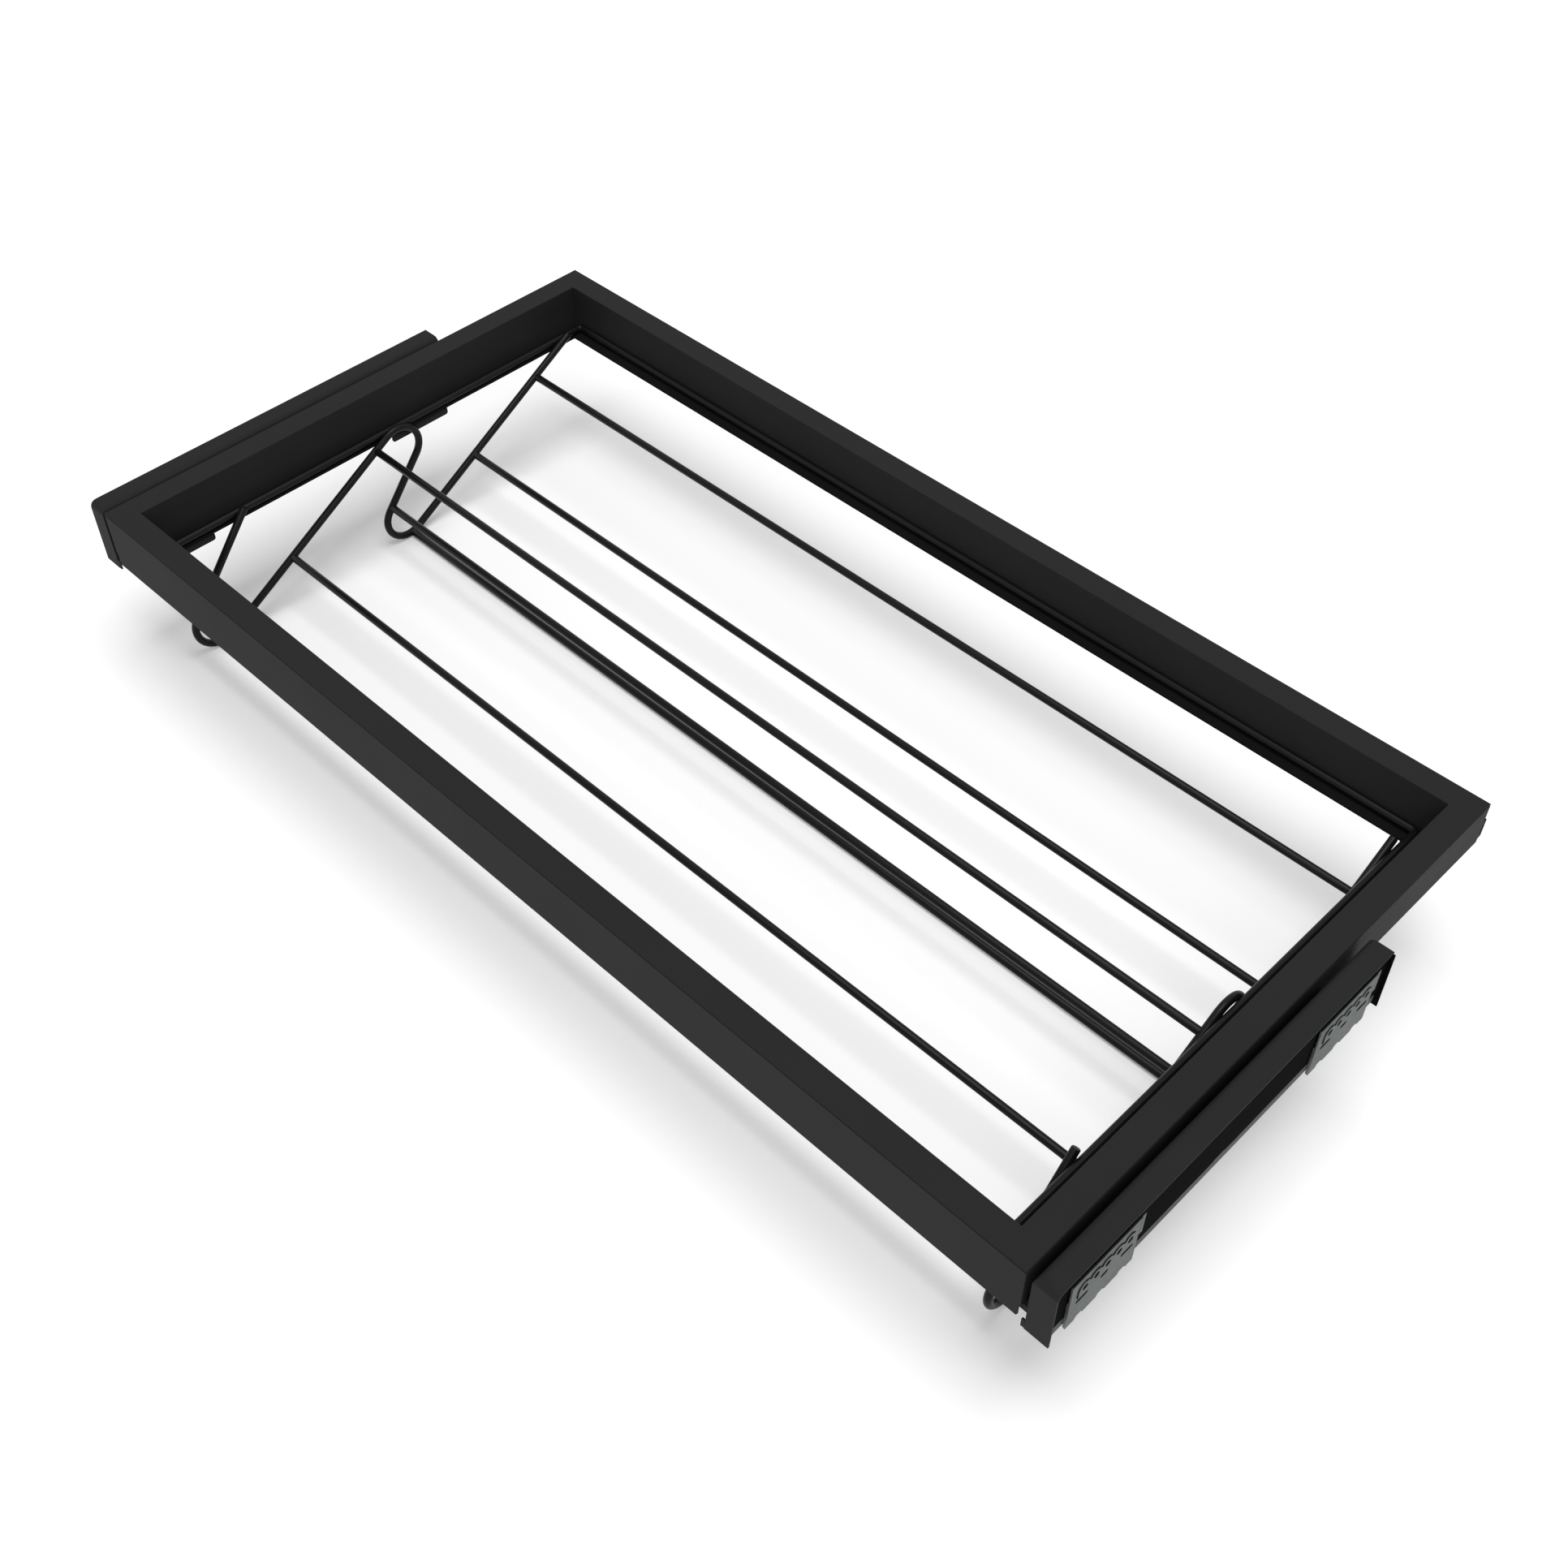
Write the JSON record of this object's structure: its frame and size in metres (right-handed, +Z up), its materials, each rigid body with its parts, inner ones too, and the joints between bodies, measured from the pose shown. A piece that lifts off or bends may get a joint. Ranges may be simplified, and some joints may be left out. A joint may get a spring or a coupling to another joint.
{
  "type": "pull-out shoe rack",
  "caption": "Pull-out wardrobe shoe rack: black mitred frame with a hanging sloped wire rack, on telescopic side slides with zinc wall brackets",
  "frame": {"origin": "on the floor under the middle of the rack", "axes": "+X to the right seen from the front, +Y into the wardrobe, +Z up"},
  "size_m": [0.964, 0.4838, 0.1413],
  "materials": {
    "coated_aluminium": "fine satin black powder coat on extruded aluminium",
    "coated_wire": "satin black powder coat on round steel wire",
    "coated_sheet": "satin black powder coat on folded steel sheet",
    "dull_sheet": "dull black coat on flat steel sheet",
    "cast_zinc": "raw zinc die casting",
    "black_screw": "black zinc plated steel",
    "rivet_steel": "plain steel rivet",
    "ball_steel": "greased bearing steel",
    "zinc_bracket": "zinc plated stamped sheet, faintly green",
    "zinc_rail": "zinc plated rolled sheet"
  },
  "bodies": {
    "cabinet_side": {"backing_plate_left": "dull_sheet", "backing_plate_right": "dull_sheet", "fixed_rail_left": "zinc_rail", "fixed_rail_right": "zinc_rail", "wall_bracket_front_left": "zinc_bracket", "wall_bracket_front_right": "zinc_bracket", "wall_bracket_rear_left": "zinc_bracket", "wall_bracket_rear_right": "zinc_bracket"},
    "outer_cages": {"outer_ball_cage_left": "ball_steel", "outer_ball_cage_right": "ball_steel"},
    "middle_rails": {"middle_rail_left": "zinc_rail", "middle_rail_right": "zinc_rail"},
    "inner_cages": {"inner_ball_cage_left": "ball_steel", "inner_ball_cage_right": "ball_steel"},
    "tray": {"border_wire": "coated_wire", "carrier_left": "coated_sheet", "carrier_right": "coated_sheet", "carrier_rivet_left_1": "rivet_steel", "carrier_rivet_left_2": "rivet_steel", "carrier_rivet_right_1": "rivet_steel", "carrier_rivet_right_2": "rivet_steel", "corner_key_front_left": "cast_zinc", "corner_key_front_right": "cast_zinc", "corner_key_rear_left": "cast_zinc", "corner_key_rear_right": "cast_zinc", "corner_screw_1": "black_screw", "corner_screw_2": "black_screw", "corner_screw_3": "black_screw", "corner_screw_4": "black_screw", "corner_screw_5": "black_screw", "corner_screw_6": "black_screw", "corner_screw_7": "black_screw", "corner_screw_8": "black_screw", "cross_wire_1": "coated_wire", "cross_wire_2": "coated_wire", "cross_wire_3": "coated_wire", "cross_wire_4": "coated_wire", "cross_wire_5": "coated_wire", "cross_wire_6": "coated_wire", "cross_wire_7": "coated_wire", "cross_wire_8": "coated_wire", "end_wire_left": "coated_wire", "end_wire_right": "coated_wire", "front_rail": "coated_aluminium", "inner_rail_left": "zinc_rail", "inner_rail_right": "zinc_rail", "left_rail": "coated_aluminium", "rear_rail": "coated_aluminium", "right_rail": "coated_aluminium", "tray_screw_left_1": "black_screw", "tray_screw_left_2": "black_screw", "tray_screw_left_3": "black_screw", "tray_screw_left_4": "black_screw", "tray_screw_right_1": "black_screw", "tray_screw_right_2": "black_screw", "tray_screw_right_3": "black_screw", "tray_screw_right_4": "black_screw"}
  },
  "joints": [
    {"name": "tray_slide", "type": "slide", "parent": "cabinet_side", "child": "tray", "axis": [0, -1, 0], "range_m": [0, 0.3]},
    {"name": "inner_cage_slide", "type": "slide", "parent": "cabinet_side", "child": "inner_cages", "axis": [0, -1, 0], "range_m": [0, 0.225]},
    {"name": "middle_rail_slide", "type": "slide", "parent": "cabinet_side", "child": "middle_rails", "axis": [0, -1, 0], "range_m": [0, 0.15]},
    {"name": "outer_cage_slide", "type": "slide", "parent": "cabinet_side", "child": "outer_cages", "axis": [0, -1, 0], "range_m": [0, 0.075]}
  ],
  "couplings": [
    {"joint": "inner_cage_slide", "follows": "tray_slide", "ratio": 0.75},
    {"joint": "middle_rail_slide", "follows": "tray_slide", "ratio": 0.5},
    {"joint": "outer_cage_slide", "follows": "tray_slide", "ratio": 0.25}
  ]
}
